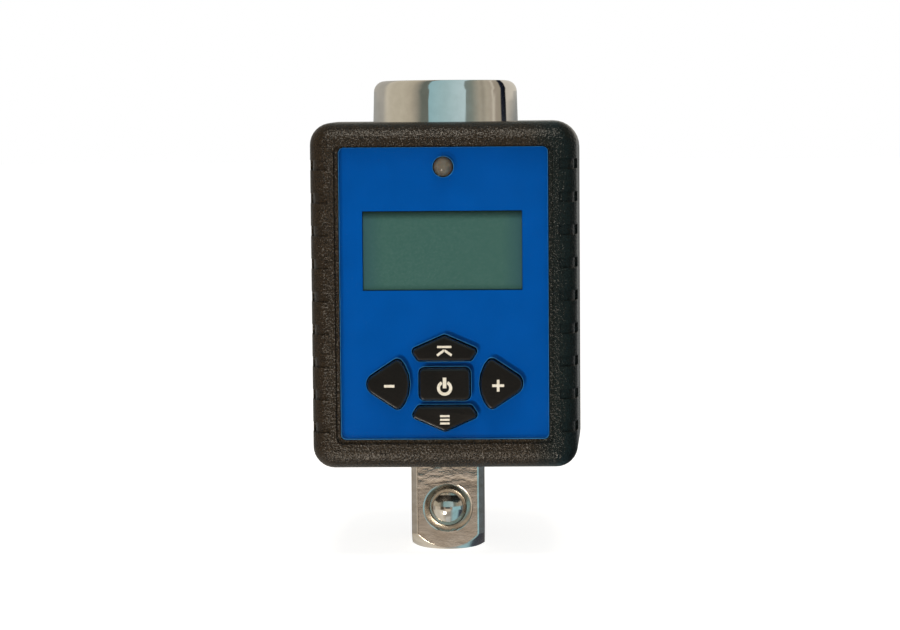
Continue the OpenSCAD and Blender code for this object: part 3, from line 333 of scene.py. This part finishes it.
# Battery contacts: nickel plated spring plates and coils at the ends of the battery bay, with
# their leads to the board.
# Nickel is a warm grey with a soft shine, and PVC a black with half a gloss.
nickel = plain_finish(
    "nickel_plate", "#aaa59a", "#c6c1b6", 0.8 * mm, 0.002 * mm, Metallic=1.0, Roughness=0.27
)
paint("contact_plates", nickel)
dressed("contact_springs", nickel, sharp=65)
black_lead = plain_finish(
    "black_pvc_insulation", "#151517", "#1e1e20", 0.6 * mm, 0.003 * mm, Roughness=0.5
)
paint("battery_leads", black_lead)

# Battery cells: two drawn steel cans in a shrunk printed jacket, a grey that lightens upwards.
# They lie side by side between their contacts.
jacket, tree, shader, place = new_finish("printed_cell_jacket", Roughness=0.3)
low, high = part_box("battery_cells")
level = add(tree, "SeparateXYZ", {"Vector": place}).outputs["Z"]
along = add(tree, "MapRange", {"Value": level, "From Min": low.z, "From Max": high.z})
tree.links.new(shade(tree, along, "#4b5761", "#77828c"), shader.inputs["Base Color"])
paint("battery_cells", jacket)

# Battery cover: moulded like the housing and let into its back, held by one zinc plated screw
# through its middle.
dressed("battery_cover", spark)

# Zinc is a duller grey than nickel.
zinc = plain_finish(
    "zinc_plated_steel", "#8b8983", "#a5a39b", 0.5 * mm, 0.003 * mm, Metallic=1.0, Roughness=0.33
)
dressed("battery_cover_screw", zinc)

# Circuit board: glass epoxy with a green solder mask over copper tracks, held by four small
# screws. It carries the chips and the buzzer, all moulded in black epoxy.
# The tracks show as paler lines under the green mask, and the chips are a matt black.
laminate, tree, shader, place = new_finish("solder_mask_on_laminate", Roughness=0.32)
tracks = add(
    tree, "TexBrick",
    {"Vector": add(tree, "Mapping", {"Vector": place, "Rotation": (math.pi / 2, 0, 0)}),
     "Scale": 1 / (5 * mm), "Mortar Size": 0.05, "Color1": linear("#14502c"),
     "Color2": linear("#175732"), "Mortar": linear("#2b7a48")},
)
tree.links.new(tracks.outputs["Color"], shader.inputs["Base Color"])
tree.links.new(relief(tree, tracks.outputs["Fac"], 0.03 * mm).outputs[0], shader.inputs["Normal"])
paint("circuit_board", laminate)
epoxy = plain_finish(
    "moulded_chip_epoxy", "#1c1c1e", "#28282a", 0.3 * mm, 0.006 * mm, Roughness=0.6
)
paint("board_components", epoxy)
paint("buzzer", epoxy)
dressed("board_screws", zinc)

# Display: a glass cell in a white frame that presses two contact strips of striped rubber on
# the board. Its front polariser is a sheet that stands in the window, with painted shade along its
# edges, darkest under the top edge, where the window's rim shades it.


def block(name, low, high, finish):
    """A plain block between two corners."""
    shape = bmesh.new()
    bmesh.ops.create_cube(shape, size=1.0)
    size = [b - a for a, b in zip(low, high)]
    bmesh.ops.scale(shape, vec=size, verts=shape.verts)
    bmesh.ops.translate(shape, vec=[a + s / 2 for a, s in zip(low, size)], verts=shape.verts)
    mesh = bpy.data.meshes.new(name)
    shape.to_mesh(mesh)
    shape.free()
    mesh.materials.append(finish)
    piece = bpy.data.objects.new(name, mesh)
    bpy.context.scene.collection.objects.link(piece)
    return piece


# The polariser is a dull grey green film with fine speckles, and nothing shows under it.
polariser, tree, shader, place = new_finish(
    "polariser_film_on_glass", Roughness=0.5, IOR=1.5, Specular_IOR_Level=0.0
)
speckle = blotches(tree, place, 0.3 * mm, 0.3, 0.7, Detail=2.0)
cell = shade(tree, speckle, "#3e645d", "#4a6d66")
spot = add(tree, "SeparateXYZ", {"Vector": place})
film_low, film_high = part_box("face_print")
cell_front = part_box("lcd_module")[0].y
window_low, window_high = film_low.z + 25.1 * mm, film_high.z - 10.7 * mm
window_left, window_right = -13.5 * mm, 13.0 * mm
film_gap, rim, clearance = 0.3 * mm, 0.15 * mm, 0.05 * mm
# Painted shade: the polariser is coloured darker along each edge of the window, most of all at the
# top.
painted_edge_shade = [
    ("X", window_left + 3.2 * mm, window_left, "#3a5d60"),
    ("X", window_right - 3.2 * mm, window_right, "#3a5d60"),
    ("Z", window_low + 1.0 * mm, window_low, "#35574f"),
    ("Z", window_high - 1.5 * mm, window_high, "#12221f"),
]
for axis, inner, outer, colour in painted_edge_shade:
    reach = {"Value": spot.outputs[axis], "From Min": inner, "From Max": outer}
    cell = mixed(tree, add(tree, "MapRange", reach), cell, linear(colour))
tree.links.new(cell, shader.inputs["Base Color"])
paint("lcd_module", polariser)
sheet = block(
    "lcd_polariser",
    (window_left - rim, film_high.y + film_gap, window_low + clearance),
    (window_right + rim, cell_front, window_high - clearance),
    polariser,
)
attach(sheet, frame["nodes"]["lcd_module"]["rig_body"])
white_abs = plain_finish("white_abs", "#d2cec2", "#dedacf", 0.6 * mm, 0.004 * mm, Roughness=0.5)
paint("lcd_frame", white_abs)

# The strips have black and pale stripes, drawn coarser than real ones so that they show.
zebra, tree, shader, place = new_finish("striped_contact_rubber", Roughness=0.7)
layers = stripes(tree, place, 0.393 * mm)
tree.links.new(shade(tree, layers, "#1a1a1c", "#b9b6ae"), shader.inputs["Base Color"])
paint("lcd_contact_strips", zebra)

# Keypad: one silicone mat with five domes, under caps of satin black ABS that are held by
# their flanges and printed in white.
silicone = plain_finish(
    "grey_silicone_rubber", "#4b4844", "#5a5752", 0.7 * mm, 0.006 * mm, Roughness=0.75
)
paint("keypad_mat", silicone)

# Satin ABS is a black with a fine grain and half a gloss, rubbed paler in patches by fingers.
satin, tree, shader, place = new_finish(
    "satin_black_abs", Roughness=0.22, IOR=1.5, Specular_IOR_Level=0.35
)
grain = add(tree, "TexNoise", {"Vector": place, "Scale": 1 / (0.35 * mm), "Detail": 3.0})
tree.links.new(relief(tree, grain, 0.012 * mm).outputs[0], shader.inputs["Normal"])
rubbed = blotches(tree, place, 3 * mm, Detail=4.0)
tree.links.new(shade(tree, rubbed, "#0e0d0b", "#13110f"), shader.inputs["Base Color"])
pad_print = plain_finish(
    "white_pad_print", "#d2ccbc", "#e6e1d4", 0.5 * mm, 0.003 * mm, Roughness=0.5
)
print_t = 0.03 * mm


def sign(key, strokes, arc=None):
    """A printed sign on a key's face, of flat strokes and at most one arc.

    A stroke is its middle in x and z, width, height and turn, and the arc its middle, inner and
    outer radius and the gap at its top. Lengths are in millimetres and angles in radians.
    """
    low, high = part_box(key)
    shape = bmesh.new()
    for x, z, width, height, turn in strokes:
        bar = bmesh.ops.create_cube(shape, size=1.0)["verts"]
        bmesh.ops.scale(shape, vec=(width * mm, print_t, height * mm), verts=bar)
        bmesh.ops.rotate(shape, matrix=Matrix.Rotation(turn, 3, "Y"), verts=bar)
        bmesh.ops.translate(shape, vec=(x * mm, low.y + print_t / 2, z * mm), verts=bar)
    if arc:
        x, z, inner, outer, gap = arc
        corners = [(r, y) for r, y in ((inner, 0), (outer, 0), (outer, 1), (inner, 1))]
        start = Matrix.Rotation(gap / 2, 3, "Y")
        ring = [
            shape.verts.new(
                Vector((x * mm, low.y + print_t * y, z * mm)) + start @ Vector((0, 0, r * mm))
            )
            for r, y in corners
        ]
        face = shape.faces.new(ring)
        bmesh.ops.spin(
            shape, geom=[face, *ring, *face.edges], cent=(x * mm, 0, z * mm), axis=(0, 1, 0),
            angle=2 * math.pi - gap, steps=40,
        )
    bmesh.ops.recalc_face_normals(shape, faces=shape.faces)
    mesh = bpy.data.meshes.new(key + "_sign")
    shape.to_mesh(mesh)
    shape.free()
    mesh.materials.append(pad_print)
    piece = bpy.data.objects.new(key + "_sign", mesh)
    bpy.context.scene.collection.objects.link(piece)
    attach(piece, frame["nodes"][key]["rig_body"])


for key in ("key_power", "key_plus", "key_minus", "key_peak", "key_mode"):
    cap = dressed(key, satin)

    # The cap's face stands back by the thickness of its print.
    face_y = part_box(key)[0].y + print_t
    for vertex in cap.data.vertices:
        vertex.co.y = max(vertex.co.y, face_y)
power_low, power_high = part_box("key_power")
keys_z = (power_low.z + power_high.z) / 2 / mm
peak_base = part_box("key_peak")[0].z / mm
mode_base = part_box("key_mode")[1].z / mm
sign_z = keys_z - 0.25
minus_x, plus_x, stroke = -9.3, 9.0, 0.45
sign("key_power", [(0, sign_z + 0.5, 0.6, 1.8, 0)], (0, sign_z - 0.36, 0.76, 1.28, 0.95))
sign("key_minus", [(minus_x, sign_z, 1.75, stroke, 0)])
arms = [(plus_x, sign_z + 0.6125 * way, stroke, 0.775, 0) for way in (1, -1)]
sign("key_plus", [(plus_x, sign_z, 2.0, stroke, 0), *arms])
chevron = [(0.62 * way, peak_base + 1.75, 1.5, 0.4, 0.62 * way) for way in (-1, 1)]
sign("key_peak", [*chevron, (0, peak_base + 2.75, 2.4, 0.36, 0)])
sign("key_mode", [(0, mode_base - 2.05 - 0.62 * i, 1.6, 0.34, 0) for i in range(3)])

# Warning lamp: a light emitting diode in a smoky resin lens that stands out of its hole in the
# face. Its two leads go back to the board.
# The resin is a cloudy brown grey that takes some light in under its gloss.
resin, tree, shader, place = new_finish(
    "smoky_resin", Roughness=0.12, IOR=1.5, Subsurface_Weight=0.3, Subsurface_Scale=1.2 * mm
)
cloud = blotches(tree, place, 0.8 * mm, Detail=3.0)
tree.links.new(shade(tree, cloud, "#544e45", "#686156"), shader.inputs["Base Color"])
dressed("warning_lamp", resin)

# Face print and plate: polyester film printed blue on its back, under a clear acrylic plate
# that lies in the recess of the housing. The sawn edges of the plate are frosted, and their light
# blue is painted light that the edges catch and carry along the plate.
blue_print = plain_finish(
    "blue_printed_film", "#0052a6", "#0055ac", 6 * mm, 0.0, Roughness=0.5, Specular_IOR_Level=0.0
)
paint("face_print", blue_print)

# The acrylic is clear with faint polish marks. Light from the lamps passes straight through it to
# the print, and the plate's back keeps off the print's face.
acrylic, tree, shader, place = new_finish(
    "clear_acrylic", Base_Color=linear("#fafcfd"), IOR=1.49, Transmission_Weight=1.0,
    Specular_IOR_Level=0.15,
)
polish_marks = blotches(tree, place, 12 * mm, Detail=4.0)
rough = add(tree, "MapRange", {"Value": polish_marks, "To Min": 0.02, "To Max": 0.06})
tree.links.new(rough.outputs[0], shader.inputs["Roughness"])
rays = add(tree, "LightPath")
let_through = add(tree, "BsdfTransparent", {"Color": linear("#fafbfc")})
through = add(
    tree, "Math", {0: rays.outputs["Is Shadow Ray"], 1: rays.outputs["Is Diffuse Ray"]},
    operation="MAXIMUM",
)
pane = add(tree, "MixShader", {0: through, 1: shader, 2: let_through})
tree.links.new(pane.outputs[0], tree.nodes["Material Output"].inputs["Surface"])
# Painted light: the plate's bevels are an opaque light blue, for the light its frosted edges
# catch.
frosted_edge_glow = plain_finish(
    "frosted_acrylic_edge_and_glow", "#1f6fae", "#3b86bf", 0.4 * mm, 0.004 * mm, Roughness=0.5
)
plate = dressed("face_lens", acrylic, bevel=0.16 * mm)
plate.data.materials.append(frosted_edge_glow)
plate.modifiers["edges"].material = 1
plate_back = film_low.y - 0.02 * mm
for vertex in plate.data.vertices:
    vertex.co.y = min(vertex.co.y, plate_back)

# Front housing half: the same textured plastic, with the recess for the face plate and the
# grip grooves. It goes on last, over the lip of the rear half.
dressed("front_cover", spark, bevel=0.12 * mm)

# Floor: a pale table that shows white and keeps a soft shadow of the part. A ray that was
# mirrored inside the plate goes through it, so that the plate mirrors the room alone.


def inner_rays(tree, rays):
    """One on the rays that leave a clear piece after a reflection inside it."""
    turned = add(tree, "Math", {0: rays.outputs["Glossy Depth"], 1: 1.0}, operation="MINIMUM")
    return add(
        tree, "Math", {0: turned, 1: rays.outputs["Is Transmission Ray"]}, operation="MULTIPLY"
    )


floor_z, floor_half, table_glow = -0.02 * mm, 4.0, 0.84
floor_mesh = bpy.data.meshes.new("floor")
shape = bmesh.new()
bmesh.ops.create_grid(shape, x_segments=1, y_segments=1, size=floor_half)
bmesh.ops.translate(shape, vec=(0, 0, floor_z), verts=shape.verts)
shape.to_mesh(floor_mesh)
shape.free()
floor = bpy.data.objects.new("floor", floor_mesh)
bpy.context.scene.collection.objects.link(floor)
floor.visible_glossy = False
floor.visible_shadow = False
table = bpy.data.materials.new("pale_table")
table.use_nodes = True
tree = table.node_tree
shader = tree.nodes["Principled BSDF"]
shader.inputs["Base Color"].default_value = linear("#e6e4e0")
shader.inputs["Roughness"].default_value = 0.9
rays = add(tree, "LightPath")
seen = add(
    tree, "Math", {0: rays.outputs["Is Camera Ray"], 1: rays.outputs["Is Transmission Ray"]},
    operation="MAXIMUM",
)
glow = add(tree, "Math", {0: seen, 1: table_glow}, operation="MULTIPLY")
shader.inputs["Emission Color"].default_value = (1, 1, 1, 1)
tree.links.new(glow.outputs[0], shader.inputs["Emission Strength"])
let_through = add(tree, "BsdfTransparent")
top = add(tree, "MixShader", {0: inner_rays(tree, rays), 1: shader, 2: let_through})
tree.links.new(top.outputs[0], tree.nodes["Material Output"].inputs["Surface"])
floor_mesh.materials.append(table)

# Light: a soft room all round, a large lamp overhead, and a small one low at the front left for
# the light that the table throws up. A lamp for the table's gleam shows only in mirrors, and two
# more only in the textured plastic. Metal mirrors the room: pale walls, a window and a dark gap.


def soft_lamp(name, place, size, power, colour, diffuse=True, glossy=True):
    """A square lamp that faces the middle of the part, for matt surfaces, mirrors or both."""
    light = bpy.data.lights.new(name, "AREA")
    light.shape = "SQUARE"
    light.size = size
    light.energy = power
    light.color = linear(colour)[:3]
    lamp = bpy.data.objects.new(name, light)
    lamp.location = place
    lamp.rotation_mode = "QUATERNION"
    lamp.rotation_quaternion = (aim - Vector(place)).to_track_quat("-Z", "Y")
    lamp.visible_diffuse, lamp.visible_glossy = diffuse, glossy
    lamp.visible_transmission = False
    bpy.context.scene.collection.objects.link(lamp)
    return lamp


low_place = (-0.14, -0.38, -0.25)
soft_lamp("overhead", (0.02, -0.22, 0.62), 0.35, 1.6, "#fff4e4", glossy=False)
soft_lamp("low_front_left", (-0.15, -0.55, -0.135), 0.08, 2.2, "#fff8ee", glossy=False)
soft_lamp("table_gleam", low_place, 0.12, 0.45, "#fff4e2", diffuse=False)
textured = bpy.data.collections.new("spark_textured_pieces")
for piece in bpy.context.scene.objects:
    if piece.type == "MESH" and spark in piece.data.materials[:]:
        textured.objects.link(piece)
low_sparkle = soft_lamp("low_sparkle", low_place, 0.12, 3.4, "#fff4e2", diffuse=False)
high_sparkle = soft_lamp(
    "high_sparkle", (-0.05, -0.38, 0.44), 0.12, 2.2, "#fff4e2", diffuse=False
)
for sparkle in (low_sparkle, high_sparkle):
    sparkle.light_linking.receiver_collection = textured

# The room is painted by a ray's bearing, which is 0 degrees where the face looks and grows to
# the right, and by its rise over the level. Both are made to run from 0 to 1, with 0 degrees at
# 0.5. Only rays find the room: it isn't sampled as a lamp is.
world = bpy.data.worlds.new("room")
bpy.context.scene.world = world
world.cycles.sampling_method = "NONE"
world.use_nodes = True
tree = world.node_tree
ray = add(tree, "SeparateXYZ", {"Vector": add(tree, "TexCoord").outputs["Generated"]})
ahead = add(tree, "Math", {0: ray.outputs["Y"], 1: -1.0}, operation="MULTIPLY")
behind = add(tree, "Math", {0: ahead, 1: 1.0}, operation="ADD")
half_bearing = add(tree, "Math", {0: ray.outputs["X"], 1: behind}, operation="ARCTAN2")
bearing = add(
    tree, "MapRange", {"Value": half_bearing, "From Min": -math.pi / 2, "From Max": math.pi / 2}
)
rise = add(tree, "Math", {0: ray.outputs["Z"]}, operation="ARCSINE")
rise = add(tree, "MapRange", {"Value": rise, "From Min": -math.pi / 2, "From Max": math.pi / 2})


def bands(factor, stops, reach):
    """Colours that run from one angle's to the next one's, over a whole reach of degrees."""
    ramp = add(tree, "ValToRGB", {"Fac": factor})
    while len(ramp.color_ramp.elements) < len(stops):
        ramp.color_ramp.elements.new(0.5)
    for element, (angle, colour) in zip(ramp.color_ramp.elements, stops):
        element.position = angle / reach + 0.5
        element.color = (*colour, 1)
    return ramp.outputs["Color"]


beige, dark_gap = (0.56, 0.51, 0.41), (0.156, 0.173, 0.152)
walls = bands(
    bearing,
    [
        (-180, (0.45, 0.43, 0.39)), (-118, (0.45, 0.43, 0.39)), (-106, (0.64, 0.59, 0.49)),
        (-92, (0.58, 0.53, 0.43)), (-70, beige), (-56, (0.50, 0.45, 0.36)),
        (-44, (0.32, 0.30, 0.25)), (-36, dark_gap), (-27, dark_gap),
        (-25.5, (0.33, 0.54, 0.60)), (0, (0.40, 0.58, 0.62)), (31, (0.54, 0.70, 0.75)),
        (33, (0.22, 0.27, 0.26)), (44, (0.24, 0.27, 0.24)), (58, (0.42, 0.39, 0.32)),
        (64, (0.36, 0.33, 0.27)), (71, (0.47, 0.43, 0.35)), (80, (0.46, 0.41, 0.34)),
        (85, (0.66, 0.61, 0.52)), (89, (0.40, 0.35, 0.29)), (100, (0.38, 0.34, 0.27)),
        (102, (0.012, 0.016, 0.03)), (114, (0.004, 0.004, 0.006)), (116, (0.65, 0.61, 0.54)),
        (180, (0.65, 0.61, 0.54)),
    ],
    360,
)
table_side = bands(
    bearing,
    [
        (-180, (0.30, 0.30, 0.28)), (-120, (0.55, 0.52, 0.46)), (-70, (0.80, 0.76, 0.68)),
        (-35, (0.90, 0.85, 0.76)), (-12, (0.46, 0.43, 0.38)), (12, (0.40, 0.38, 0.35)),
        (32, (0.38, 0.64, 0.74)), (58, (0.38, 0.64, 0.74)), (70, (0.05, 0.06, 0.09)),
        (120, (0.10, 0.10, 0.11)), (180, (0.30, 0.30, 0.28)),
    ],
    360,
)
viewer_side = bands(
    rise,
    [
        (-90, (0.62, 0.68, 0.70)), (-62, (0.70, 0.70, 0.68)), (-50, (0.40, 0.39, 0.37)),
        (-28, (0.42, 0.38, 0.33)), (-17, (0.90, 0.80, 0.68)), (-10.5, (0.72, 0.62, 0.53)),
        (-9.4, (0.64, 0.55, 0.47)), (-8.2, (0.46, 0.36, 0.30)), (-7.7, (0.02, 0.02, 0.02)),
        (0.5, (0.02, 0.02, 0.02)), (90, (0.55, 0.51, 0.44)),
    ],
    180,
)
low_walls = bands(
    bearing,
    [
        (-180, (0.40, 0.40, 0.38)), (-110, (0.32, 0.32, 0.30)), (-98, (0.40, 0.38, 0.35)),
        (-80, (0.46, 0.43, 0.39)), (-74, (0.78, 0.72, 0.62)), (-46, (0.70, 0.62, 0.53)),
        (-40, (0.10, 0.08, 0.06)), (-24, (0.10, 0.08, 0.06)), (-18, (0.55, 0.43, 0.35)),
        (18, (0.55, 0.43, 0.35)), (23, (0.34, 0.26, 0.20)), (28, (0.40, 0.72, 0.84)),
        (76, (0.40, 0.72, 0.84)), (83, (0.13, 0.15, 0.17)), (130, (0.13, 0.15, 0.17)),
        (180, (0.40, 0.40, 0.38)),
    ],
    360,
)

# Walls stand over the sill. Under it are the viewer's side in front, and elsewhere the side of
# the table with low walls over it. Each starts and ends over a few degrees.
sill, table_edge, front_edge = (0.8, 2.2), (-17, -13), (12, 18)
aside = add(tree, "Math", {0: bearing, 1: 0.5}, operation="SUBTRACT")
aside = add(tree, "Math", {0: aside}, operation="ABSOLUTE")
start, end = (angle / 360 for angle in front_edge)
aside = add(tree, "MapRange", {"Value": aside, "From Min": start, "From Max": end})
start, end = (0.5 + angle / 180 for angle in table_edge)
over_table = add(tree, "MapRange", {"Value": rise, "From Min": start, "From Max": end})
start, end = (0.5 + angle / 180 for angle in sill)
over_sill = add(tree, "MapRange", {"Value": rise, "From Min": start, "From Max": end})
below = mixed(tree, aside, viewer_side, mixed(tree, over_table, table_side, low_walls))
room = mixed(tree, over_sill, below, walls)

# The camera and the clear plate see white behind the part, mirrors see the room, and matt
# surfaces get a soft light from all round that is stronger from the front.
rays = add(tree, "LightPath")
inner = inner_rays(tree, rays)
glossy = add(
    tree, "Math", {0: rays.outputs["Is Glossy Ray"], 1: inner}, operation="MAXIMUM"
)
seen = add(
    tree, "Math", {0: rays.outputs["Is Camera Ray"], 1: rays.outputs["Is Transmission Ray"]},
    operation="MAXIMUM",
)
soft = tree.nodes["Background"]
front_light, round_light = 0.42, 0.17
frontal = add(tree, "Math", {0: ahead, 1: 0.0}, operation="MAXIMUM")
frontal = add(tree, "Math", {0: frontal, 1: 2.0}, operation="POWER")
strength = add(
    tree, "Math", {0: frontal, 1: front_light, 2: round_light}, operation="MULTIPLY_ADD"
)
tree.links.new(strength.outputs[0], soft.inputs["Strength"])
soft.inputs["Color"].default_value = (1, 1, 1, 1)
mirrored = add(tree, "Background", {"Color": room})
white = add(tree, "Background", {"Color": (1, 1, 1, 1)})
gloss = add(tree, "MixShader", {0: glossy, 1: soft, 2: mirrored})
clear = add(tree, "Math", {0: seen, 1: inner}, operation="SUBTRACT")
whole = add(tree, "MixShader", {0: clear, 1: gloss, 2: white})
tree.links.new(whole.outputs[0], tree.nodes["World Output"].inputs["Surface"])
bpy.context.scene.view_settings.view_transform = "Standard"
